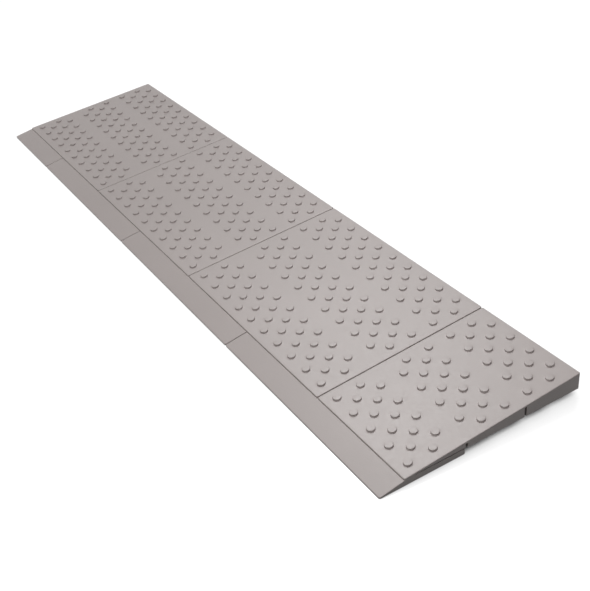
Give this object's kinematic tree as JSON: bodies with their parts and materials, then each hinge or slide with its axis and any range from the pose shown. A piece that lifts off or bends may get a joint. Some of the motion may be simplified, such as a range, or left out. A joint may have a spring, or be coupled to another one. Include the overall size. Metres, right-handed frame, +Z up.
{
  "type": "threshold ramp",
  "caption": "Low wedge-shaped threshold ramp of studded plastic tiles plugged on bevelled edge strips, laid on the floor to roll wheels over a door sill.",
  "frame": {"origin": "on the floor, in the middle of the ramp's outline", "axes": "+X along the ramp's width, +Y from the low front edge to the threshold, +Z up"},
  "size_m": [0.7484, 0.1802, 0.0199],
  "materials": {
    "ramp_plastic": "fine matte grain",
    "plug_plastic": "satin",
    "foot_rubber": "matte",
    "pad_rubber": "matte"
  },
  "bodies": {
    "edge_base": {"edge_strip_1": "ramp_plastic", "plugs_edge_strip_1": "plug_plastic", "grip_pads_edge_strip_1": "pad_rubber", "edge_strip_2": "ramp_plastic", "plugs_edge_strip_2": "plug_plastic", "grip_pads_edge_strip_2": "pad_rubber", "edge_strip_3": "ramp_plastic", "plugs_edge_strip_3": "plug_plastic", "grip_pads_edge_strip_3": "pad_rubber", "half_edge_strip": "ramp_plastic", "plugs_half_edge_strip": "plug_plastic", "grip_pads_half_edge_strip": "pad_rubber"},
    "half_tile_module": {"half_tile": "ramp_plastic", "middle_feet_half_tile": "foot_rubber", "rear_feet_half_tile": "foot_rubber"},
    "tile_1_module": {"tile_1": "ramp_plastic", "middle_feet_tile_1": "foot_rubber", "rear_feet_tile_1": "foot_rubber"},
    "tile_2_module": {"tile_2": "ramp_plastic", "middle_feet_tile_2": "foot_rubber", "rear_feet_tile_2": "foot_rubber"},
    "tile_3_module": {"tile_3": "ramp_plastic", "middle_feet_tile_3": "foot_rubber", "rear_feet_tile_3": "foot_rubber"}
  },
  "joints": [
    {"name": "half_tile_lift", "type": "slide", "parent": "edge_base", "child": "half_tile_module", "axis": [0, 0, 1], "range_m": [0, 0.03]},
    {"name": "tile_1_lift", "type": "slide", "parent": "edge_base", "child": "tile_1_module", "axis": [0, 0, 1], "range_m": [0, 0.03]},
    {"name": "tile_2_lift", "type": "slide", "parent": "edge_base", "child": "tile_2_module", "axis": [0, 0, 1], "range_m": [0, 0.03]},
    {"name": "tile_3_lift", "type": "slide", "parent": "edge_base", "child": "tile_3_module", "axis": [0, 0, 1], "range_m": [0, 0.03]}
  ]
}
